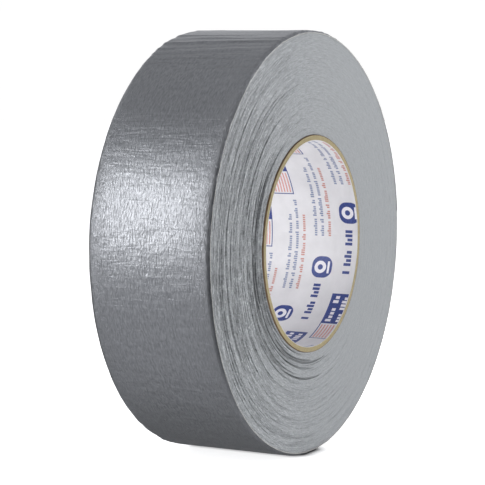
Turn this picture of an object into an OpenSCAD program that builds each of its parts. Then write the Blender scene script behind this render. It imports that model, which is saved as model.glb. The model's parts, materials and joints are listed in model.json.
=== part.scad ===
// Roll of cloth-backed duct tape on a spiral-wound paperboard core.
// The roll stands on its tread. Its axis runs along Y through the origin, which is the
// centre of the core's bore, and +Z is up. The web is wound as a true spiral: each turn
// is two half turns about two centres, so the outside steps by one thickness at the free end.

/* [Core] */
// Bore of the core, the trade's three inch size
core_bore_d = 76.2; // [70:0.1:80]
// Length of the core, a little longer than the tape is wide
core_len = 49.2; // [48.2:0.1:51]
// Thickness of the white printed paper that lines the bore
liner_t = 0.15; // [0.1:0.01:0.25]
// Thickness of one paperboard ply
board_t = 0.42; // [0.3:0.01:0.5]
// Thickness of the thin kraft wrap that the tape is stuck to
wrap_t = 0.17; // [0.1:0.01:0.3]
// Number of paperboard plies between the liner and the wrap
board_plies = 4; // [3:1:5]
// Width of the strip that each ply is wound from
strip_w = 108; // [80:1:130]
// Gap left where a strip's edges butt
seam_gap = 0.3; // [0.2:0.05:0.6]

/* [Tape] */
// Width of the tape
tape_w = 48; // [47:0.1:48]
// Diameter of the full roll, over the free end
roll_d = 157; // [140:1:165]
// Thickness of the silver polyethylene film
film_t = 0.08; // [0.06:0.01:0.1]
// Thickness of the cloth scrim
scrim_t = 0.06; // [0.05:0.01:0.08]
// Thickness of the rubber adhesive
adhesive_t = 0.12; // [0.1:0.01:0.14]
// How far the soft tread is pressed flat where the roll stands
flat_depth = 0.12; // [0.05:0.01:0.3]

/* [Free end] */
// Length of the free end that can be lifted
end_len = 27; // [15:1:40]
// Place of the cut edge round the roll, in degrees above the horizontal
end_angle = 5; // [-10:1:20]
// Clearance between the free end and the lap below it
end_lift = 0.05; // [0.04:0.01:0.1]
// Gap between the free end and the rest of the outer lap, where the tape folds as it lifts
fold_gap = 0.08; // [0.05:0.01:0.2]

/* [Hidden] */
$fn = 120;

kraft = "tan";
bore_r = core_bore_d / 2;
board_r = bore_r + liner_t;
wrap_r = board_r + board_plies * board_t;
core_r = wrap_r + wrap_t;

web_t = film_t + scrim_t + adhesive_t;
half_step = web_t / 2;              // how far the two centres of the spiral lie apart
second_r = roll_d / 2 - half_step;  // outer radius of the second half turn, about the second centre
first_r = second_r - half_step;     // outer radius of the first half turn, about the core's axis
end_span = end_len / second_r * 180 / PI;
fold_span = fold_gap / second_r * 180 / PI;

// Depths below the film's surface at which each layer of the web ends
film_depth = film_t;
scrim_depth = film_depth + scrim_t;
web_depth = scrim_depth + adhesive_t;

// How far along the axis a strip climbs in one turn, for its edges to meet
lead = strip_w / cos(asin(strip_w / (PI * core_bore_d)));
seam_twist = 360 * core_len / lead;
seam_spread = 360 / (board_plies + 1);  // each strip's seam is this angle on from the last one's
seam_slices = 36;
over = 1;  // how far a cutting tool runs past what it cuts
nick = 0.02;  // the same, where another layer lies close by

// Lays a shape that is built round Z with its axis along Y
module on_axis() {
    rotate([90, 0, 0]) children();
}

// Part of a tube from one angle to another, centred on the origin
module arc_shell(r_in, r_out, from, to, length) {
    rotate([0, 0, from])
        rotate_extrude(angle = to - from)
            translate([r_in, -length / 2])
                square([r_out - r_in, length]);
}

module tube(r_in, r_out, length) {
    difference() {
        cylinder(r = r_out, h = length, center = true);
        cylinder(r = r_in, h = length + over, center = true);
    }
}

// The helical gap where the edges of one wound strip butt. It climbs like a right-hand thread.
module seam(r_in, r_out, start) {
    rotate([0, 0, start])
        linear_extrude(
            height = core_len + over,
            center = true,
            twist = -seam_twist * (core_len + over) / core_len,
            slices = seam_slices,
            $fn = 4
        )
            translate([r_in - over / 2, -seam_gap / 2])
                square([r_out - r_in + over, seam_gap]);
}

// One strip of the core, wound into a tube
module wound_strip(r_in, thickness, start) {
    on_axis()
        difference() {
            tube(r_in, r_in + thickness, core_len);
            seam(r_in, r_in + thickness, start);
        }
}

// Shifts what is drawn about the second centre of the spiral
module about_second_centre() {
    translate(half_step * [cos(end_angle), sin(end_angle)]) children();
}

// What the roll fills inside a given depth below the outside of its film
module spiral_disc(depth, length) {
    difference() {
        union() {
            arc_shell(0, first_r - depth, end_angle - 180, end_angle, length);
            about_second_centre()
                arc_shell(0, second_r - depth, end_angle, end_angle + 180, length);
        }
        translate([0, flat_depth + depth - first_r - over / 2, 0])
            cube([roll_d, over, length + over], center = true);
    }
}

// One layer of the outermost lap, from where it leaves the lap below to the fold
module outer_lap_layer(depth_from, depth_to) {
    on_axis()
        difference() {
            spiral_disc(depth_from, tape_w);
            spiral_disc(depth_to, tape_w + over);
            about_second_centre()
                arc_shell(
                    second_r - depth_to - nick, second_r + over,
                    end_angle - fold_span, end_angle + end_span, tape_w + over
                );
        }
}

// One layer of the free end, from the fold to the cut edge
module free_end_layer(depth_from, depth_to) {
    on_axis()
        about_second_centre()
            arc_shell(
                second_r + end_lift - depth_to, second_r + end_lift - depth_from,
                end_angle, end_angle + end_span - fold_span, tape_w
            );
}

// The lining paper's edges overlap, so it has no gap
module core_liner() {
    color("white")
        on_axis()
            tube(bore_r, bore_r + liner_t, core_len);
}

module core_board_ply(i) {
    color(kraft)
        wound_strip(board_r + (i - 1) * board_t, board_t, i * seam_spread);
}

module core_outer_wrap() {
    color(kraft)
        wound_strip(wrap_r, wrap_t, (board_plies + 1) * seam_spread);
}

// All the laps below the outermost one, which their own adhesive holds as one body
module wound_laps() {
    color("darkgray")
        on_axis()
            difference() {
                spiral_disc(web_depth, tape_w);
                cylinder(r = core_r, h = tape_w + over, center = true);
            }
}

module outer_lap_adhesive() {
    color("gainsboro")
        outer_lap_layer(scrim_depth, web_depth);
}

module outer_lap_scrim() {
    color("whitesmoke")
        outer_lap_layer(film_depth, scrim_depth);
}

module outer_lap_film() {
    color("silver")
        outer_lap_layer(0, film_depth);
}

module free_end_adhesive() {
    color("gainsboro")
        free_end_layer(scrim_depth, web_depth);
}

module free_end_scrim() {
    color("whitesmoke")
        free_end_layer(film_depth, scrim_depth);
}

module free_end_film() {
    color("silver")
        free_end_layer(0, film_depth);
}

core_liner();
for (i = [1:board_plies])
    core_board_ply(i);
core_outer_wrap();
wound_laps();
outer_lap_adhesive();
outer_lap_scrim();
outer_lap_film();
free_end_adhesive();
free_end_scrim();
free_end_film();
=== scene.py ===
"""The looks of a roll of cloth-backed duct tape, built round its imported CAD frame.

Every piece starts as a flat block, as the web and the core's strips do in the mill, and a rule
winds it into place. Lengths are in millimetres until a mesh is stored in metres.
"""
import json
import math
import random

import bmesh
import bpy
import numpy as np
from mathutils import Matrix, Vector


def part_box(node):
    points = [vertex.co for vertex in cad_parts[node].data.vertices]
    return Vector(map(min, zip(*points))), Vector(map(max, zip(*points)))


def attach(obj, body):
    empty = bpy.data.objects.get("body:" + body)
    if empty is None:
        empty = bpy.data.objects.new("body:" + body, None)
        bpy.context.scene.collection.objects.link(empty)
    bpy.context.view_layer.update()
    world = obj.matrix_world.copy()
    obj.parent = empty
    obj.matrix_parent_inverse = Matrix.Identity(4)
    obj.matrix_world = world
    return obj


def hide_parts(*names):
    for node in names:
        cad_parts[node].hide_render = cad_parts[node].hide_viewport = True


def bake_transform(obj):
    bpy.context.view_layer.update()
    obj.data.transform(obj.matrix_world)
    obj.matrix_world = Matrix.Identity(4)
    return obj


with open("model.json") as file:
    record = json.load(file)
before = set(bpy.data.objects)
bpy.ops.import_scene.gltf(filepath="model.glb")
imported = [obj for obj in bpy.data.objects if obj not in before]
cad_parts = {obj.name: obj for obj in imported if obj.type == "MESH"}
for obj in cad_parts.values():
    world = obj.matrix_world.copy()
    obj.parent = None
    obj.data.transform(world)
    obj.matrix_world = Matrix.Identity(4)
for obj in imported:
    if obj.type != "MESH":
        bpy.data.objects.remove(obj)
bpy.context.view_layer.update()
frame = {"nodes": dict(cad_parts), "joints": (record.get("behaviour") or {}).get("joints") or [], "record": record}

MM = 0.001


# ---------------------------------------------------------------- driving dimensions, from the frame

def outer_radius(node):
    """A round node's outer radius: its box is widest, and exact, on the -X side."""
    return -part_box(node)[0][0] / MM


mounts = {m["name"]: m for m in frame["record"]["mounts"]}
BORE_R = mounts["core_bore"]["dims"]["r_mm"]
LINER_R = outer_radius("core_liner")
CORE_R = outer_radius("core_outer_wrap")
ROLL_R = outer_radius("outer_lap_film")
CORE_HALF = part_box("core_liner")[1][1] / MM
TAPE_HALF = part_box("wound_laps")[1][1] / MM
FLOOR_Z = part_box("outer_lap_film")[0][2]

fold = next(j for j in frame["joints"] if j["name"] == "free_end_peel")
FOLD_X, _, FOLD_Z = (c / MM for c in fold["pos_m"])

WEB = 0.26  # thickness of the tape
FILM, SCRIM = 0.08, 0.06  # thickness of its two outer layers; adhesive is the rest
FLAT = ROLL_R + FLOOR_Z / MM  # how far the tread is pressed flat where it stands
END_LENGTH = 27.0  # of the free end
TIP_ANGLE = math.atan2(FOLD_Z, FOLD_X) - END_LENGTH / (ROLL_R + WEB)
FOLD_TURN = END_LENGTH / (2 * math.pi * (ROLL_R + WEB))
LAPS = round((ROLL_R + WEB - CORE_R) / WEB)
PITCH = (ROLL_R + WEB - CORE_R) / LAPS

PLY_NODES = sorted(n for n in frame["nodes"] if n.startswith("core_board_ply"))
STRIP_WIDTH = 108.0  # of the strips that the core is wound from
STRIP_ANGLE = math.asin(STRIP_WIDTH / (2 * math.pi * BORE_R))
LEAD = STRIP_WIDTH / math.cos(STRIP_ANGLE)  # how far the strips climb in one turn

YARN_ALONG = 0.6  # spacing of the scrim's lengthwise yarns
YARN_ACROSS = 1.27  # spacing of the yarns across the tape
YARN_R = 0.11  # where a torn yarn is thickest


# ---------------------------------------------------------------- irregularities of a real roll

def eased(share):
    """A share from 0 to 1 that starts and ends gently."""
    return share * share * (3 - 2 * share)


def drift(seed, spacing, length):
    """A smooth random curve over a length, with a new value each spacing, between -1 and 1."""
    values = np.random.default_rng(seed).uniform(-1, 1, int(length / spacing) + 4)

    def at(x):
        place = np.clip(np.asarray(x) / spacing, 0, len(values) - 2.001)
        low = place.astype(int)
        share = eased(place - low)
        return values[low] * (1 - share) + values[low + 1] * share

    return at


def patchwork(seed, laps, places):
    """A smooth random value over the wound tape, new each few laps and at places round a lap."""
    values = np.random.default_rng(seed).uniform(-1, 1, (int(LAPS / laps) + 3, places))

    def at(turns, angle):
        row = turns / laps
        column = angle / (2 * math.pi) * places
        low_row, low_column = np.floor(row).astype(int), np.floor(column).astype(int)
        share_row, share_column = eased(row - low_row), eased(column - low_column)
        result = np.zeros_like(turns)
        for step_row, weight_row in ((0, 1 - share_row), (1, share_row)):
            for step_column, weight in ((0, 1 - share_column), (1, share_column)):
                found = values[low_row + step_row, (low_column + step_column) % places]
                result = result + found * weight_row * weight
        return result

    return at


TAPE_LENGTH = 2 * math.pi * LAPS * (ROLL_R + CORE_R) / 2 * 1.05  # with some to spare
web_wander = drift(3, 38, TAPE_LENGTH)
edge_fray = drift(4, 2.6, TAPE_LENGTH)
lap_bands = drift(5, 3.5, LAPS + 4)
lap_groups = patchwork(7, 2.8, 40)
lap_patches = patchwork(9, 1.5, 110)

LOOSEST = math.radians(190)  # round the roll from +X, up over the top
LOOSE_SPREAD = math.radians(62)
TIGHT = 0.22  # how uneven the laps are where they are wound tight, against where they are loosest


def looseness(angle):
    """How unevenly the laps lie round the roll: the -X side is wound looser than the rest."""
    away = (angle - LOOSEST + math.pi) % (2 * math.pi) - math.pi
    return TIGHT + (1 - TIGHT) * np.exp(-(away / LOOSE_SPREAD) ** 2)


def slack_gaps(seed, count, first_lap, last_lap, centre, scatter, deepest):
    """Places where one to three laps sink between their neighbours over part of a turn: the
    first lap, how many, the middle of the gap and half its span in turns, and its depth. They
    scatter round a centre, both in degrees."""
    dice = random.Random(seed)
    gaps = []
    for _ in range(count):
        lap = int(dice.uniform(first_lap, last_lap))
        middle = (dice.gauss(centre, scatter) - math.degrees(TIP_ANGLE)) / 360
        span = dice.uniform(0.03, 0.12)
        gaps.append((lap, dice.choice((1, 2, 2, 3)), middle, span, dice.uniform(0.35, 1) * deepest))
    return gaps


CORE_GAP = (LAPS - 19, 3, 0.52, 0.15, 2.6)  # the deepest, and the longest, lies near the core
GAPS = (
    *slack_gaps(11, 90, 12, LAPS - 6, 184, 28, 0.62),
    *slack_gaps(12, 34, LAPS - 44, LAPS - 5, 218, 18, 1.2),
    CORE_GAP,
)


def gap_depth(turns):
    """How far slack sinks the web's edge, this many turns in."""
    depth = np.zeros_like(turns)
    for lap, laps, middle, half_span, deep in GAPS:
        for sunk in range(lap, lap + laps):
            share = np.clip(1 - ((turns - sunk - middle) / half_span) ** 2, 0, 1)
            depth = np.maximum(depth, deep * np.sqrt(share))
    return depth


def flattening(angle):
    """How much the outside is pressed in at each angle, to stand on a flat."""
    from_bottom = (angle + math.pi / 2 + math.pi) % (2 * math.pi) - math.pi
    down = np.cos(np.clip(from_bottom, -1, 1))
    return np.clip(ROLL_R - (ROLL_R - FLAT) / down, 0, FLAT)


def out_of_round(angle):
    """How far the outside stands out at each angle, in two, three and seven low lobes."""
    return 0.07 * np.sin(2 * angle + 0.6) + 0.05 * np.sin(3 * angle + 2.1) + 0.035 * np.sin(7 * angle)


def spiral_radius(turns):
    """Radius of the film's outside, this many turns in from the cut edge: two half turns a lap."""
    lap = np.floor(turns)
    half = np.minimum(turns - lap, 0.5)
    return ROLL_R + PITCH / 2 * (1 + np.cos(2 * math.pi * half)) - PITCH * lap


def arc_length(turns):
    """Length of tape between the cut edge and a point this many turns in."""
    return 2 * math.pi * turns * (ROLL_R + WEB - PITCH * turns / 2)


def at_angle(turns, radius, y):
    """Places points on the roll, with the flat and the out-of-round fading towards the core."""
    angle = TIP_ANGLE + 2 * math.pi * turns
    outward = (radius - CORE_R) / (ROLL_R - CORE_R)
    pressed = flattening(angle)
    radius = radius + outward * (out_of_round(angle) * (FLAT - pressed) / FLAT - pressed)
    return radius * np.cos(angle), y, radius * np.sin(angle)


# ---------------------------------------------------------------- making meshes

def corners_of(geometry):
    """The vertices among the parts that a mesh operator gives back."""
    return [part for part in geometry if isinstance(part, bmesh.types.BMVert)]


def flat_block(along, across):
    """A unit block, cut into a grid along and across, one piece thick."""
    bm = bmesh.new()
    bmesh.ops.create_grid(bm, x_segments=along, y_segments=across, size=0.5)
    bmesh.ops.translate(bm, vec=(0.5, 0.5, 0), verts=bm.verts)
    top = bmesh.ops.extrude_face_region(bm, geom=bm.faces[:])["geom"]
    bmesh.ops.translate(bm, vec=(0, 0, 1), verts=corners_of(top))
    return bm


def open_ends(bm):
    """Takes away a block's two end walls, for a ring that closes on itself."""
    ends = [f for f in bm.faces if abs(f.calc_center_median().x - 0.5) > 0.4999]
    bmesh.ops.delete(bm, geom=ends, context="FACES")
    return bm


def stored(bm, name):
    """An object of that name at the origin, holding the mesh."""
    mesh = bpy.data.meshes.new(name)
    bm.to_mesh(mesh)
    bm.free()
    obj = bpy.data.objects.new(name, mesh)
    bpy.context.collection.objects.link(obj)
    return obj


def coordinates(mesh):
    """The mesh's points, a row for each."""
    values = np.empty(len(mesh.vertices) * 3)
    mesh.vertices.foreach_get("co", values)
    return values.reshape(-1, 3)


def wound(name, bm, rule, uv_size, weld=0.0, crease=50):
    """Winds a flat block by a rule from its three shares, 0 to 1, to places in millimetres.

    The UV map keeps the flat lengths along and across, in millimetres.
    """
    obj = stored(bm, name)
    mesh = obj.data
    shares = coordinates(mesh)
    corners = np.empty(len(mesh.loops), dtype=np.int32)
    mesh.loops.foreach_get("vertex_index", corners)
    flat = shares[:, :2] * np.array(uv_size)
    mesh.uv_layers.new(name="flat_mm").data.foreach_set("uv", flat[corners].ravel())
    placed = np.stack(rule(*shares.T), axis=1) * MM
    mesh.vertices.foreach_set("co", placed.ravel())
    bm = bmesh.new()
    bm.from_mesh(mesh)
    if weld:
        bmesh.ops.remove_doubles(bm, verts=bm.verts, dist=weld * MM)
    bmesh.ops.recalc_face_normals(bm, faces=bm.faces)
    bm.to_mesh(mesh)
    bm.free()
    mesh.shade_smooth()
    mesh.set_sharp_from_angle(angle=math.radians(crease))
    return obj


def finish_piece(obj, material, body, slot, *nodes):
    """Gives a piece its material and its body, and hides the CAD nodes that it stands for. The slot is not used.
    """
    obj.data.materials.clear()
    obj.data.materials.append(material)
    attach(obj, body)
    if nodes:
        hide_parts(*nodes)
    return obj


# ---------------------------------------------------------------- materials

def linear(code):
    """An sRGB hex colour as linear RGBA."""
    parts = [int(code[i:i + 2], 16) / 255 for i in (0, 2, 4)]
    return (*(c / 12.92 if c <= 0.04045 else ((c + 0.055) / 1.055) ** 2.4 for c in parts), 1)


def add(tree, kind, values=None, links=None, **settings):
    """Adds a node with its settings, its unlinked values and its links."""
    node = tree.nodes.new(kind)
    for key, value in settings.items():
        setattr(node, key, value)
    for key, value in (values or {}).items():
        node.inputs[key].default_value = value
    for key, socket in (links or {}).items():
        tree.links.new(socket, node.inputs[key])
    return node


def new_material(name, **shader):
    """A material with one Principled shader, and its tree and shader for more to be added."""
    material = bpy.data.materials.new(name)
    material.use_nodes = True
    tree = material.node_tree
    tree.nodes.clear()
    surface = add(tree, "ShaderNodeBsdfPrincipled", shader)
    add(tree, "ShaderNodeOutputMaterial", links={"Surface": surface.outputs["BSDF"]})
    return material, tree, surface


def ramp(tree, factor, *stops):
    """A colour ramp over the stops, each a place and an sRGB hex colour."""
    node = add(tree, "ShaderNodeValToRGB", links={"Fac": factor})
    while len(node.color_ramp.elements) < len(stops):
        node.color_ramp.elements.new(1)
    for element, (place, code) in zip(node.color_ramp.elements, stops):
        element.position = place
        element.color = linear(code)
    return node.outputs["Color"]


def flat_pattern(tree, along_mm, across_mm):
    """The flat UV map, scaled so that one unit is that many millimetres each way."""
    uv = add(tree, "ShaderNodeUVMap", uv_map="flat_mm")
    scale = (1 / along_mm, 1 / across_mm, 1)
    return add(tree, "ShaderNodeMapping", {"Scale": scale}, {"Vector": uv.outputs["UV"]}).outputs[0]


WAVE_PERIOD = math.pi / 10  # of Blender's band wave at scale 1


def relief(tree, *parts):
    """A normal bumped by the sum of some textures, each with its height in millimetres."""
    total = add(tree, "ShaderNodeMath", {0: 0.0, 1: 0.0}, operation="ADD").outputs[0]
    for texture, height in parts:
        total = add(
            tree, "ShaderNodeMath", {1: height}, {0: texture, 2: total}, operation="MULTIPLY_ADD"
        ).outputs[0]
    bump = add(tree, "ShaderNodeBump", {"Strength": 1.0, "Distance": MM}, {"Height": total})
    return bump.outputs["Normal"]


def noise(tree, place, detail=3.0, roughness=0.6, twist=0.0):
    """Noise one unit across, at a place that is already scaled."""
    values = {"Scale": 1.0, "Detail": detail, "Roughness": roughness, "Distortion": twist}
    return add(tree, "ShaderNodeTexNoise", values, {"Vector": place}).outputs["Fac"]


def yarns(tree, spacing, waver, fineness, way):
    """Ridges over yarns that lie a spacing apart and waver a little."""
    values = {
        "Scale": WAVE_PERIOD / spacing, "Distortion": waver,
        "Detail": 2.0, "Detail Scale": fineness,
    }
    place = flat_pattern(tree, 1, 1)
    waves = add(tree, "ShaderNodeTexWave", values, {"Vector": place}, bands_direction=way)
    return waves.outputs["Fac"]


def carried(tree, value, start, end, low=0.0, high=1.0):
    """Carries a value's run from start to end over to the run from low to high."""
    values = {"From Min": start, "From Max": end, "To Min": low, "To Max": high}
    return add(tree, "ShaderNodeMapRange", values, {"Value": value}).outputs["Result"]


def times(tree, one, other):
    """The product of two values."""
    return add(tree, "ShaderNodeMath", links={0: one, 1: other}, operation="MULTIPLY").outputs[0]


def size_of(tree, value):
    """A value without its sign."""
    return add(tree, "ShaderNodeMath", links={0: value}, operation="ABSOLUTE").outputs[0]


def object_place(tree):
    """Where a point lies on the object, as three outputs X, Y and Z in metres."""
    place = add(tree, "ShaderNodeTexCoord").outputs["Object"]
    return add(tree, "ShaderNodeSeparateXYZ", links={"Vector": place}).outputs


def with_painted_shade(tree, tone, painted_shade, code):
    """A tone with a share of painted shade, in another colour, mixed over it."""
    links = {"Factor": painted_shade, "A": tone}
    mixed = add(tree, "ShaderNodeMix", {"B": linear(code)}, links, data_type="RGBA")
    return mixed.outputs["Result"]


def silver_film():
    """Polyethylene filled with aluminium pigment, calendered onto cloth: a soft metallic sheen,
    with the yarns pressing through, and fine crinkles along the yarns that run across. Along the
    slit edges, at half height, a dark line of painted shade is mixed into the colour."""
    material, tree, surface = new_material("silver_polyethylene_film", Metallic=0.8)
    warp = yarns(tree, YARN_ALONG, 2.2, 1.8, "Y")
    weft = yarns(tree, YARN_ACROSS, 2.6, 1.2, "X")
    crinkle = noise(tree, flat_pattern(tree, 1.0, 2.6), 3.0, 0.5, 0.4)
    slubs = noise(tree, flat_pattern(tree, 2.0, 0.42), 2.0, 0.5, 0.6)
    pucker = noise(tree, flat_pattern(tree, 4.0, 5.0), 1.0)
    soft_folds = noise(tree, flat_pattern(tree, 2.0, 11.0), 2.0, 0.5, 1.0)
    long_folds = noise(tree, flat_pattern(tree, 2.4, 22.0), 2.0, 0.5, 0.3)
    place = object_place(tree)
    handled = carried(tree, place["Z"], 0.052, 0.072, 0.04)
    sharp_folds = times(tree, carried(tree, long_folds, 0.5, 0.72), handled)
    normal = relief(
        tree, (warp, 0.008), (weft, 0.003), (crinkle, 0.03), (slubs, 0.19), (pucker, 0.14),
        (soft_folds, 0.14), (sharp_folds, 0.3),
    )
    at_edge = carried(
        tree, size_of(tree, place["Y"]), (TAPE_HALF - 1.3) * MM, (TAPE_HALF - 0.3) * MM
    )
    # painted shade: the film's colour darkens near its slit edges, most at half height round the roll
    painted_shade = times(tree, at_edge, carried(tree, size_of(tree, place["Z"]), 0.03, 0.06, 0.7, 0.0))
    tone = ramp(tree, slubs, (0.3, "7c7e82"), (0.7, "96989c"))
    worn = carried(tree, slubs, 0.0, 1.0, 0.31, 0.43)
    tree.links.new(with_painted_shade(tree, tone, painted_shade, "2e3033"), surface.inputs["Base Color"])
    tree.links.new(worn, surface.inputs["Roughness"])
    tree.links.new(normal, surface.inputs["Normal"])
    return material


def slit_edges():
    """Edges of film, cloth and adhesive cut by a slitter: matt, with streaks along the laps
    and a speckle of cut yarn ends. Those sunk below the rest are darkened with painted shade."""
    material, tree, surface = new_material("slit_tape_edges", Roughness=0.62)
    streaks = noise(tree, flat_pattern(tree, 3.4, 0.5), 4.0)
    ends = noise(tree, flat_pattern(tree, 0.8, 0.4), 2.0)
    both = add(tree, "ShaderNodeMix", {"Factor": 0.4}, {"A": streaks, "B": ends}).outputs["Result"]
    place = object_place(tree)
    loose = carried(tree, place["X"], 0.02, -0.05, 0.35, 1.15)
    uneven = add(
        tree, "ShaderNodeMix", {"A": 0.5}, {"Factor": loose, "B": both}, clamp_factor=False
    ).outputs["Result"]
    # painted shade: the edges darken the deeper they lie below the side face, in the gaps
    sunk = carried(
        tree, size_of(tree, place["Y"]), (TAPE_HALF - 0.35) * MM, (TAPE_HALF - 1.3) * MM, 0.0, 0.7
    )
    tone = ramp(tree, uneven, (0.3, "404345"), (0.43, "7d8082"), (0.57, "95989b"), (0.7, "c8ccd0"))
    tree.links.new(with_painted_shade(tree, tone, sunk, "1e2124"), surface.inputs["Base Color"])
    tree.links.new(relief(tree, (uneven, 0.09)), surface.inputs["Normal"])
    return material


def kraft_board(name, light, dark):
    """Unbleached paperboard, cut on the mandrel: long brown fibres, no gloss."""
    material, tree, surface = new_material(name, Roughness=0.85)
    fibres = noise(tree, flat_pattern(tree, 1.8, 0.6), 5.0, 0.7)
    tree.links.new(ramp(tree, fibres, (0.3, dark), (0.7, light)), surface.inputs["Base Color"])
    tree.links.new(relief(tree, (fibres, 0.04)), surface.inputs["Normal"])
    return material


def liner_paper():
    """White coated paper: smooth, with a slight clouding from the board below."""
    material, tree, surface = new_material("white_liner_paper", Roughness=0.48)
    cloud = noise(tree, flat_pattern(tree, 9, 6), 4.0)
    fibres = noise(tree, flat_pattern(tree, 0.7, 0.4))
    tree.links.new(ramp(tree, cloud, (0.3, "d3d2d4"), (0.7, "dfdee0")), surface.inputs["Base Color"])
    tree.links.new(relief(tree, (cloud, 0.15), (fibres, 0.01)), surface.inputs["Normal"])
    return material


STARVING = 0.8  # size of the thin patches in a printed ink


def ink(name, full, thin):
    """Flexographic ink on coated paper: even, with slight starving where the plate lifts."""
    material, tree, surface = new_material(name, Roughness=0.45)
    place = add(tree, "ShaderNodeTexCoord").outputs["Object"]
    scale = (1 / (STARVING * MM),) * 3
    scaled = add(tree, "ShaderNodeMapping", {"Scale": scale}, {"Vector": place})
    starved = noise(tree, scaled.outputs[0], 2.0)
    tree.links.new(ramp(tree, starved, (0.35, full), (0.8, thin)), surface.inputs["Base Color"])
    return material


def plain_layer(name, light, dark, roughness, along_mm, across_mm):
    """A layer seen mostly at its edge: colour mottled at the size of its own grain."""
    material, tree, surface = new_material(name, Roughness=roughness)
    grain = noise(tree, flat_pattern(tree, along_mm, across_mm))
    tree.links.new(ramp(tree, grain, (0.3, dark), (0.7, light)), surface.inputs["Base Color"])
    tree.links.new(relief(tree, (grain, 0.03)), surface.inputs["Normal"])
    return material


FILM_FINISH = silver_film()
EDGE_FINISH = slit_edges()
BOARD_FINISH = kraft_board("kraft_paperboard", "b2a684", "968a68")
WRAP_FINISH = kraft_board("dark_kraft_wrap", "8a745a", "66523d")
LINER_FINISH = liner_paper()
SCRIM_FINISH = plain_layer("cotton_blend_scrim", "d8d6d0", "b9b7b0", 0.85, 1.2, 0.6)
ADHESIVE_FINISH = plain_layer("natural_rubber_adhesive", "a4a4a0", "8e8e8b", 0.42, 3.0, 2.0)


# ---------------------------------------------------------------- the tape

EDGE_ROLL_WIDTH = 1.8  # how far in from each edge the outer lap turns down
EDGE_ROLL_DROP = 0.85
EDGE_ROLL_DEPTH = 3.0  # how deep into the roll the laps below are still pressed down with it
TENSION_CREASES = 1500
HANDLING_CREASES = 46
SEEN_CUTS = (780, 60)  # along and across the outer lap's film
HIDDEN_CUTS = (370, 24)  # the same for the layers below it
END_CUTS = (96, 60)
CUTS_ROUND = 256  # of each wound lap
UNDER_END = 1.3  # of the free end's length is how far the film carries on below it
TIP_LEAN = 1 / 1200  # turns that the cut edge leans back in each millimetre of depth


def creases():
    """Ridges and furrows pressed across the outer lap by winding tension, with longer ones where
    the top has been handled: place along the tape, place across, half length across, half width
    along, and height."""
    dice = random.Random(21)
    length = 2 * math.pi * ROLL_R
    found = []
    for _ in range(TENSION_CREASES):
        along = dice.uniform(0, length)
        across = dice.uniform(-1, 1) * TAPE_HALF
        size = (dice.uniform(1.5, 6), dice.uniform(0.7, 1.4), dice.gauss(0, 0.035))
        found.append((along, across, *size))
    for _ in range(HANDLING_CREASES):
        along = arc_length((math.radians(dice.uniform(72, 122)) - TIP_ANGLE) / (2 * math.pi))
        across = dice.uniform(-1, 1) * TAPE_HALF
        size = (dice.uniform(7, 20), dice.uniform(0.7, 1.1), dice.uniform(0.08, 0.22))
        found.append((along, across, *size))
    return found


CREASES = creases()


def crease_height(along, across):
    """How far the creases raise or sink the outer lap at each point."""
    order = np.argsort(along)
    in_order = along[order]
    height = np.zeros_like(along)
    for c_along, c_across, half_across, half_along, tall in CREASES:
        reach = 3 * half_along
        first, last = np.searchsorted(in_order, (c_along - reach, c_along + reach))
        near = order[first:last]
        v = (across[near] - c_across) / (2 * half_across)
        u = (along[near] - c_along - 0.05 * (across[near] - c_across)) / half_along
        height[near] += tall * np.exp(-u ** 2) * np.clip(1 - v ** 2, 0, 1) ** 2
    return height


roll_wander = drift(10, 3.4, 2 * math.pi * ROLL_R * 1.1)
torn_edge = drift(6, 0.62, 2 * TAPE_HALF + 4)


def edge_roll(across, along=0):
    """How far the outer lap's edges turn down towards the side faces."""
    width = EDGE_ROLL_WIDTH * (1 + 0.3 * roll_wander(along))
    into_roll = np.clip((np.abs(across) - TAPE_HALF + width) / width, 0, 1)
    return EDGE_ROLL_DROP * into_roll ** 2


def toward_edges(share):
    """Spreads cuts across the tape so that they lie closer near its two edges."""
    return share - 0.1 * np.sin(2 * math.pi * share)


def lap_edge(turns, side):
    """Where an edge of the web lies along the roll's axis; side is -1 at the front. The laps
    lie a little inside the tape's full width."""
    length = arc_length(turns)
    angle = TIP_ANGLE + 2 * math.pi * turns
    wander = 0.09 * web_wander(length) + 0.03 * edge_fray(length)
    wander = wander + 0.08 * lap_groups(turns, angle) + 0.08 * lap_patches(turns, angle)
    wander = wander * looseness(angle) + 0.06 * lap_bands(turns)
    return side * TAPE_HALF + wander - 0.04 * side


def outer_web_rule(first_turn, last_turn, top, bottom, lifted=None):
    """A rule that winds a layer of the web, between two depths below the film's outside."""

    def rule(a, b, c):
        turns = first_turn + (last_turn - first_turn) * a
        across = (2 * toward_edges(b) - 1) * TAPE_HALF
        depth = top + (bottom - top) * c
        along = arc_length(turns)
        relief = crease_height(along, across) * (1 - 0.4 * depth / WEB)
        radius = spiral_radius(turns) - depth - edge_roll(across, along) + relief
        edge = np.where(across < 0, lap_edge(turns, -1) + TAPE_HALF, lap_edge(turns, 1) - TAPE_HALF)
        y = across + edge * np.clip(np.abs(across) / TAPE_HALF, 0, 1) ** 4
        if lifted is not None:
            turns, radius = lifted(turns, radius, across)
        return at_angle(turns, radius, y)

    return rule


def free_end_lift(turns, radius, across):
    """The free end eases off the lap below, and its cut edge is torn a little unevenly."""
    from_tip = arc_length(turns)
    tear = torn_edge(across + TAPE_HALF) * 0.35 * np.clip(1 - from_tip / 2.5, 0, 1)
    lift = 0.05 + 0.28 * np.clip(1 - from_tip / 9, 0, 1) ** 2
    lift = lift * np.clip((END_LENGTH - from_tip) / 4, 0, 1)
    return turns + tear / (2 * math.pi * ROLL_R), radius + lift


LAYERS = {
    "film": (0, FILM, FILM_FINISH, "silver_film"),
    "scrim": (FILM, FILM + SCRIM, SCRIM_FINISH, "scrim_cloth"),
    "adhesive": (FILM + SCRIM, WEB, ADHESIVE_FINISH, "adhesive"),
}


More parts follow.
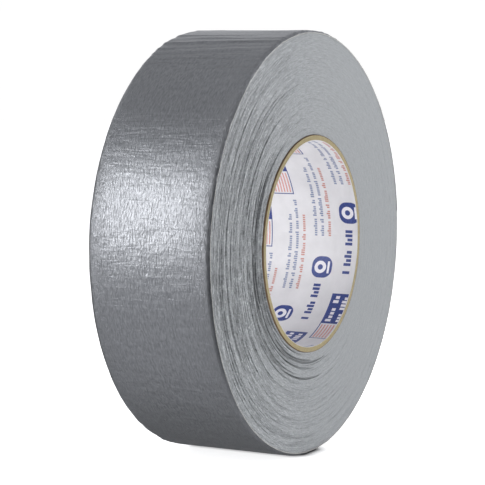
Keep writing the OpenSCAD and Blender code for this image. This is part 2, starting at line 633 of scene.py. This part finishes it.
def outer_lap():
    """The outermost lap, layer by layer, from the fold round to the cut edge. Its film carries
    on under the free end."""
    for layer, (top, bottom, finish, slot) in LAYERS.items():
        cuts = SEEN_CUTS if layer == "film" else HIDDEN_CUTS
        last_turn = 1 + UNDER_END * FOLD_TURN if layer == "film" else 1
        piece = wound(
            "outer_lap_" + layer + "_skin", flat_block(*cuts),
            outer_web_rule(FOLD_TURN, last_turn, top, bottom),
            (2 * math.pi * ROLL_R, 2 * TAPE_HALF),
        )
        finish_piece(piece, finish, "roll", slot, "outer_lap_" + layer)


def free_end():
    """The free end, layer by layer: it eases a little off the lap below, its cut edge is torn a little unevenly,
    and it meets the rest of the lap at the fold.
    """
    for layer, (top, bottom, finish, slot) in LAYERS.items():
        piece = wound(
            "free_end_" + layer + "_skin", flat_block(*END_CUTS),
            outer_web_rule(top * TIP_LEAN, FOLD_TURN, top, bottom, free_end_lift),
            (END_LENGTH, 2 * TAPE_HALF),
        )
        piece.data.materials.append(finish)
        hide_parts("free_end_" + layer)
        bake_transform(piece)


def torn_yarns():
    """Ends of the scrim's lengthwise yarns that stand out of the cut edge."""
    bm = bmesh.new()
    dice = random.Random(51)
    count = int(2 * TAPE_HALF / YARN_ALONG)
    for number in range(1, count):
        if dice.random() < 0.3:  # torn off flush
            continue
        length = dice.uniform(0.3, 1.3)
        yarn = bmesh.ops.create_cone(
            bm, cap_ends=True, segments=6, radius1=YARN_R, radius2=0.04, depth=length
        )["verts"]
        bmesh.ops.rotate(
            bm, verts=yarn, cent=(0, 0, 0), matrix=Matrix.Rotation(-math.pi / 2, 3, "Y")
        )
        bmesh.ops.rotate(
            bm, verts=yarn, cent=(0, 0, 0), matrix=Matrix.Rotation(dice.gauss(0, 0.25), 3, "Z")
        )
        across = (number + dice.uniform(-0.3, 0.3)) * YARN_ALONG
        bmesh.ops.translate(bm, verts=yarn, vec=(0.25 - length / 2, across, 0))

    def rule(along, across, height):
        turns = along / (2 * math.pi * ROLL_R)
        droop = 0.12 * np.minimum(along, 0) ** 2
        lifted = free_end_lift(np.zeros_like(along), 0, across - TAPE_HALF)[1]
        radius = ROLL_R + PITCH - FILM - SCRIM / 2 + lifted + height - droop
        radius = radius - edge_roll(across - TAPE_HALF)
        return at_angle(turns, radius, across - TAPE_HALF)

    piece = wound("torn_yarns", bm, rule, (1, 1))
    finish_piece(piece, SCRIM_FINISH, "free_end", "scrim_cloth")


ROWS_PER_LAP = 3  # the first lies in the groove between two laps


def groove_depth(turns):
    """How far the groove between two laps is sunk: deeper where the web is wound looser."""
    angle = TIP_ANGLE + 2 * math.pi * turns
    uneven = np.clip(0.5 + lap_groups(turns, angle) + 0.7 * lap_patches(turns, angle), 0, 2)
    return 0.03 + 0.26 * (looseness(angle) - 0.2) * uneven


def lap_band(name, first_lap, last_lap):
    """A band of the wound laps: one closed coil, whose two ribbed faces follow the spiral."""
    rows = (last_lap - first_lap) * ROWS_PER_LAP
    one_lap = ROWS_PER_LAP / rows
    bm = flat_block(CUTS_ROUND, rows)
    inside = []
    for face in bm.faces:
        centre = face.calc_center_median()
        if centre.x < 1e-4 and centre.y > one_lap:
            inside.append(face)
        elif centre.x > 1 - 1e-4 and centre.y < 1 - one_lap:
            inside.append(face)
    bmesh.ops.delete(bm, geom=inside, context="FACES")

    def rule(a, b, c):
        lap, row = np.divmod(np.rint(b * rows).astype(int), ROWS_PER_LAP)
        turns = first_lap + lap + a
        side = np.where(c < 0.5, -1, 1)
        set_back = np.where(row == 0, groove_depth(turns), 0) + gap_depth(turns)
        pressed = EDGE_ROLL_DROP * np.exp(-PITCH * (turns - 1) / EDGE_ROLL_DEPTH)
        radius = spiral_radius(turns) - PITCH * row / ROWS_PER_LAP - pressed
        return at_angle(a, radius, lap_edge(turns, side) - side * set_back)

    size = (math.pi * (ROLL_R + CORE_R), (last_lap - first_lap) * PITCH)
    return wound(name, bm, rule, size, weld=0.002, crease=75)


def wound_laps():
    """The laps below the outermost one, in three bands of which each has a third."""
    thirds = [1 + round((LAPS - 2) * share / 3) for share in range(4)]
    names = ("laps_under_tread", "laps_in_middle", "laps_on_core")
    for name, first, last in zip(names, thirds, thirds[1:]):
        finish_piece(lap_band(name, first, last), EDGE_FINISH, "roll", "tape_edges")
    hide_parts("wound_laps")


# ---------------------------------------------------------------- the core

SEAM_GAP = 0.3  # between the edges of a wound strip


def wound_strip(name, inner_r, outer_r, start_angle, gap, edge_round, seed):
    """A strip of the core, wound into a tube. One with a gap climbs like a right-hand thread."""
    jitter = drift(seed, 1.4, 2 * math.pi * CORE_R + 4)
    middle = (inner_r + outer_r) / 2
    open_angle = gap / middle
    climb = 2 * math.pi / LEAD if gap else 0

    def rule(a, b, c):
        y = (2 * toward_edges(b) - 1) * CORE_HALF
        end_round = np.clip((np.abs(y) - CORE_HALF + edge_round) / edge_round, 0, 1) ** 2
        radius = middle + (c - 0.5) * (outer_r - inner_r) * (1 - 0.45 * end_round)
        angle = start_angle + open_angle / 2 + (2 * math.pi - open_angle) * a - climb * y
        worn = 0.03 + 0.03 * jitter(2 * math.pi * middle * a * (1 - a) * 4)
        y = y - np.sign(y) * end_round * worn
        return radius * np.cos(angle), y, radius * np.sin(angle)

    size = (2 * math.pi * outer_r, 2 * CORE_HALF)
    if gap:
        return wound(name, flat_block(200, 56), rule, size, crease=60)
    return wound(name, open_ends(flat_block(200, 24)), rule, size, weld=0.002, crease=60)


def core():
    """The core from the inside out: printed liner, plies of board, and the wrap."""
    between_seams = 2 * math.pi / (len(PLY_NODES) + 1)
    # the CAD seams start at the +Y end; these are placed by where they cross the middle
    half_climb = math.pi * 2 * CORE_HALF / LEAD
    inner_r = LINER_R
    for number, node in enumerate(PLY_NODES, 1):
        name = f"board_ply_{number}"
        start = number * between_seams + half_climb
        outer_r = outer_radius(node)
        piece = wound_strip(name, inner_r, outer_r, start, SEAM_GAP, 0.22, 30 + number)
        finish_piece(piece, BOARD_FINISH, "roll", "core_board", node)
        inner_r = outer_r
    start = (len(PLY_NODES) + 1) * between_seams + half_climb
    wrap = wound_strip("kraft_wrap", inner_r, CORE_R, start, SEAM_GAP, 0.1, 40)
    finish_piece(wrap, WRAP_FINISH, "roll", "kraft_paper", "core_outer_wrap")
    liner = wound_strip("printed_liner", BORE_R, LINER_R, 0, 0, 0.06, 41)
    finish_piece(liner, LINER_FINISH, "roll", "liner_paper", "core_liner")


# ---------------------------------------------------------------- the liner's print

# The printing plate repeats along the strip. Wound up, each repeat is a step round and along.
# Artwork is drawn with its left-right along the axis, and its height round the bore from +X.
REPEATS = 11  # of the plate in one turn of the helix
STEP_ROUND = 2 * math.pi * BORE_R / REPEATS
STEP_ALONG = -LEAD / REPEATS
COLUMNS = 2  # copies of the artwork side by side across the strip
INK = 0.012  # thickness of the ink film
INK_CLEAR = 0.006  # between the liner and the ink, so that the two never meet
PRINT_MARGIN = 0.25  # left bare at each end of the core


def bar(bm, left, bottom, width, height):
    """A flat rectangle of the artwork."""
    corners = bmesh.ops.create_grid(bm, x_segments=1, y_segments=1, size=0.5)["verts"]
    bmesh.ops.scale(bm, vec=(width, height, 1), verts=corners)
    bmesh.ops.translate(bm, vec=(left + width / 2, bottom + height / 2, 0), verts=corners)
    return corners


def blank_words(bm, base, bottom, words, letter, tall):
    """A line of blank blocks the size of letters, grouped in words, that reads up the bore."""
    dice = random.Random(base)
    at = bottom
    for letters in words:
        for _ in range(letters):
            bar(bm, base, at, tall * dice.choice((0.7, 0.7, 1.0)), letter * 0.7)
            at += letter
        at += letter


def small_blue_lines(bm):
    """Two small lines of blank blocks, side by side."""
    blank_words(bm, 3.7, -22.5, (8, 5, 2, 7, 5, 3), 0.86, 1.5)
    blank_words(bm, 0.8, -22.5, (5, 2, 9, 8, 4, 5, 3), 0.86, 1.5)


def small_red_line(bm):
    """One more, beside them."""
    blank_words(bm, -2.2, -22.5, (7, 4, 2, 6, 3, 8), 0.86, 1.5)


PANEL_LEFT, PANEL_BOTTOM, PANEL_MIDDLE, PANEL_TOP = -26.2, -49.5, -38.6, -23.6
PANEL_WIDTH = 8.8
BADGE = (-10.4, -13.0)  # its centre
BADGE_SIZE = 8.6
FRAME = 0.4  # width of the panel's frame


def large_navy_shapes(bm):
    """A line of large blank blocks, a badge after it, and the frame and head of a panel."""
    blank_words(bm, -11.4, -37.0, (1, 4, 4), 1.6, 3.0)
    badge = bar(
        bm, BADGE[0] - BADGE_SIZE / 2, BADGE[1] - BADGE_SIZE / 2, BADGE_SIZE, BADGE_SIZE
    )
    bmesh.ops.bevel(bm, geom=badge, offset=3.4, segments=8, profile=0.5, affect="VERTICES")
    bar(bm, PANEL_LEFT, PANEL_MIDDLE, PANEL_WIDTH, PANEL_TOP - PANEL_MIDDLE)
    for left in (PANEL_LEFT, PANEL_LEFT + PANEL_WIDTH - FRAME):
        bar(bm, left, PANEL_BOTTOM, FRAME, PANEL_MIDDLE - PANEL_BOTTOM)
    bar(bm, PANEL_LEFT, PANEL_BOTTOM, PANEL_WIDTH, FRAME)


def white_shapes(bm):
    """A plain ring over a line on the badge, for a roll of tape, and blank lines on the panel."""
    centre = (BADGE[0] + 0.7, BADGE[1], 0)
    ring = [bm.verts.new((centre[0] + r, centre[1], 0)) for r in (1.1, 2.5)]
    bmesh.ops.spin(
        bm, geom=[*ring, bm.edges.new(ring)], cent=centre,
        axis=(0, 0, 1), angle=2 * math.pi, steps=28, use_merge=True,
    )
    bar(bm, BADGE[0] - 3.2, BADGE[1] - 2.4, 0.9, 4.8)
    blank_words(bm, PANEL_LEFT + 5.2, PANEL_MIDDLE + 1.2, (4, 2), 1.9, 2.3)
    blank_words(bm, PANEL_LEFT + 1.4, PANEL_MIDDLE + 1.2, (3, 4), 1.6, 2.3)


def pale_red_lines(bm):
    """Fine ruled lines that fill the panel's lower part."""
    for line in range(6):
        bar(bm, PANEL_LEFT + 1.0 + 1.25 * line, PANEL_BOTTOM + 0.9, 0.6, 9.2)


def printed(name, artwork, level, material):
    """The artwork in one ink, repeated along the strip and wound into the bore."""
    bm = bmesh.new()
    for repeat in range(-REPEATS // 2, REPEATS // 2 + 1):
        for column in range(-COLUMNS, COLUMNS + 1):
            along = STEP_ALONG * repeat + column * LEAD / COLUMNS
            before = set(bm.verts)
            artwork(bm)
            drawn = [v for v in bm.verts if v not in before]
            places = [v.co.x + along for v in drawn]
            if min(map(abs, (min(places), max(places)))) < CORE_HALF:
                bmesh.ops.translate(bm, vec=(along, STEP_ROUND * repeat, 0), verts=drawn)
            else:
                bmesh.ops.delete(bm, geom=drawn, context="VERTS")

    def cut(place, direction, trim):
        everything = bm.verts[:] + bm.edges[:] + bm.faces[:]
        bmesh.ops.bisect_plane(
            bm, geom=everything, dist=1e-5, plane_co=place, plane_no=direction, clear_outer=trim
        )

    for side in (-1, 1):
        cut((side * (CORE_HALF - PRINT_MARGIN), 0, 0), (side, 0, 0), True)
    low = min(v.co.y for v in bm.verts)
    high = max(v.co.y for v in bm.verts)
    for step in range(1, math.ceil(high - low)):
        cut((0, low + step, 0), (0, 1, 0), False)
    top = bmesh.ops.extrude_face_region(bm, geom=bm.faces[:])["geom"]
    bmesh.ops.translate(bm, vec=(0, 0, INK), verts=corners_of(top))
    obj = stored(bm, name)
    flat = coordinates(obj.data)
    radius = BORE_R - INK_CLEAR - level * INK - flat[:, 2]
    angle = flat[:, 1] / BORE_R
    placed = np.stack((radius * np.cos(angle), flat[:, 0], radius * np.sin(angle)), axis=1) * MM
    obj.data.vertices.foreach_set("co", placed.ravel())
    bm = bmesh.new()
    bm.from_mesh(obj.data)
    bmesh.ops.recalc_face_normals(bm, faces=bm.faces)
    bm.to_mesh(obj.data)
    bm.free()
    finish_piece(obj, material, "roll", "liner_paper")


def liner_print():
    """Each ink is a piece of its own, and white lies on top of navy."""
    printed("print_small_blue", small_blue_lines, 0, ink("blue_grey_ink", "6c7799", "98a0b8"))
    printed("print_small_red", small_red_line, 0, ink("red_ink", "b87c72", "d0a198"))
    printed("print_navy", large_navy_shapes, 0, ink("navy_ink", "28397c", "3d4e90"))
    printed("print_pale_red", pale_red_lines, 0, ink("pale_red_ink", "c98b86", "dcaea9"))
    printed("print_white", white_shapes, 1.2, ink("white_ink", "e4e2e8", "edebef"))


# ---------------------------------------------------------------- stage, lights and camera

CONTACT = (0.004, (TAPE_HALF - 4) * MM, 0)  # half the patch of floor under the roll, round which a shadow is painted


def pale_floor():
    """Matt white card. Its glow is painted light, as if lit from all round; near the roll the glow fades out and
    the colour turns near black, a painted contact shadow.
    """
    material, tree, surface = new_material("pale_floor", **{"Emission Color": linear("ffffff")})
    place = add(tree, "ShaderNodeTexCoord").outputs["Object"]
    for operation, vector in (("MULTIPLY", (1, 1, 0)), ("ABSOLUTE", None),
                              ("SUBTRACT", CONTACT), ("MAXIMUM", (0, 0, 0))):
        values = {1: vector} if vector else {}
        node = add(tree, "ShaderNodeVectorMath", values, {0: place}, operation=operation)
        place = node.outputs[0]
    reach = add(tree, "ShaderNodeVectorMath", links={0: place}, operation="LENGTH").outputs["Value"]
    # painted light: the floor glows, fading to nothing close to the roll
    painted_glow = carried(tree, reach, 0.003, 0.009, 0.0, 0.8)
    # painted shadow: the floor's colour goes near black close to the roll
    tone = ramp(tree, carried(tree, reach, 0.003, 0.006), (0.0, "101010"), (1.0, "f4f4f4"))
    tree.links.new(painted_glow, surface.inputs["Emission Strength"])
    tree.links.new(tone, surface.inputs["Base Color"])
    return material


def stage():
    """A pale floor that meets a white backdrop."""
    ground = bmesh.new()
    bmesh.ops.create_circle(ground, cap_ends=True, segments=96, radius=4)
    bmesh.ops.translate(ground, vec=(0, 0, FLOOR_Z), verts=ground.verts)
    floor = stored(ground, "floor")
    floor.data.materials.append(pale_floor())
    floor.visible_glossy = False

    dome_mesh = bmesh.new()
    bmesh.ops.create_uvsphere(dome_mesh, u_segments=48, v_segments=24, radius=5)
    dome = stored(dome_mesh, "backdrop")
    white = {"Base Color": (0, 0, 0, 1), "Emission Color": linear("ffffff"), "Emission Strength": 1.0}
    dome.data.materials.append(new_material("white_backdrop", **white)[0])
    dome.visible_diffuse = False
    dome.visible_glossy = False
    dome.visible_shadow = False


def soft_light(name, direction, distance, size, radiance):
    """An area light that looks at the roll from a direction."""
    lamp = bpy.data.lights.new(name, "AREA")
    lamp.shape = "RECTANGLE"
    lamp.size, lamp.size_y = size
    lamp.energy = radiance * math.pi * size[0] * size[1]
    holder = bpy.data.objects.new(name, lamp)
    holder.location = Vector(direction).normalized() * distance
    holder.rotation_euler = (-Vector(direction)).to_track_quat("-Z", "Y").to_euler()
    bpy.context.collection.objects.link(holder)


UP = (0, 0, 1)
TO_BACKDROP = (0.87, 0.49, 0)
TO_SCREEN = (-0.88, -0.47, 0)


def room_light():
    """Soft light from all round: most from the backdrop, less from above, and least from a dark
    screen beside the camera and from below."""
    world = bpy.data.worlds.new("studio")
    world.use_nodes = True
    tree = world.node_tree
    way = add(tree, "ShaderNodeTexCoord").outputs["Generated"]

    def toward(direction, *run):
        """Brightness that changes with how nearly the light comes from a direction."""
        near = add(tree, "ShaderNodeVectorMath", {1: direction}, {0: way}, operation="DOT_PRODUCT")
        return carried(tree, near.outputs["Value"], *run)

    above = toward(UP, -0.02, 0.02, 0, 1)
    backdrop = times(tree, toward(TO_BACKDROP, 0.75, 0.97, 0, 0.6), above)
    walls = toward(UP, 0, 1, 0.58, 0.36)
    below = times(tree, toward(TO_BACKDROP, -0.1, 0.45, 1, 0.2), toward(UP, -1, 0, 0.58, 0.7))
    both = add(tree, "ShaderNodeMix", links={"Factor": above, "A": below, "B": walls}).outputs["Result"]
    lit = add(tree, "ShaderNodeMath", links={0: both, 1: backdrop}, operation="ADD").outputs[0]
    strength = times(tree, lit, toward(TO_SCREEN, 0.62, 0.9, 1.0, 0.06))
    background = tree.nodes["Background"]
    background.inputs["Color"].default_value = linear("fafbff")
    tree.links.new(strength, background.inputs["Strength"])
    bpy.context.scene.world = world


def lights():
    """A broad band of light along the tread, one on the side face, and a little from the top."""
    room_light()
    soft_light("tread_softbox", (-0.785, 0.605, 0.27), 0.9, (0.32, 0.5), 6.4)
    soft_light("tread_scrim", (-0.78, 0.61, 0.27), 0.88, (0.42, 0.86), 1.2)
    soft_light("face_softbox", (0.5, -1.0, 0.2), 0.9, (0.5, 0.5), 5.9)
    soft_light("top_softbox", (0.1, 0.1, 1.0), 1.2, (0.6, 0.6), 0.6)


VIEW_UNIT = 78.5 * MM  # half the roll's width across, in which the camera's place is given


def camera():
    """Looks at the roll from its front left, a little above."""
    azimuth, elevation = math.radians(-61.73), math.radians(5.40)
    level = math.cos(elevation)
    back = Vector((math.sin(azimuth) * level, -math.cos(azimuth) * level, math.sin(elevation)))
    right = Vector((math.cos(azimuth), math.sin(azimuth), 0))
    up = back.cross(right)
    data = bpy.data.cameras.new("camera")
    data.sensor_width = 36
    data.lens = 141.9
    data.clip_start = 0.01
    data.clip_end = 20
    holder = bpy.data.objects.new("camera", data)
    holder.location = VIEW_UNIT * (9.126 * back - 0.0607 * right - 0.008 * up)
    holder.rotation_euler = (-back).to_track_quat("-Z", "Y").to_euler()
    bpy.context.collection.objects.link(holder)
    bpy.context.scene.camera = holder


outer_lap()
free_end()
torn_yarns()
wound_laps()
core()
liner_print()
stage()
lights()
camera()
bpy.context.scene.view_settings.view_transform = "Standard"
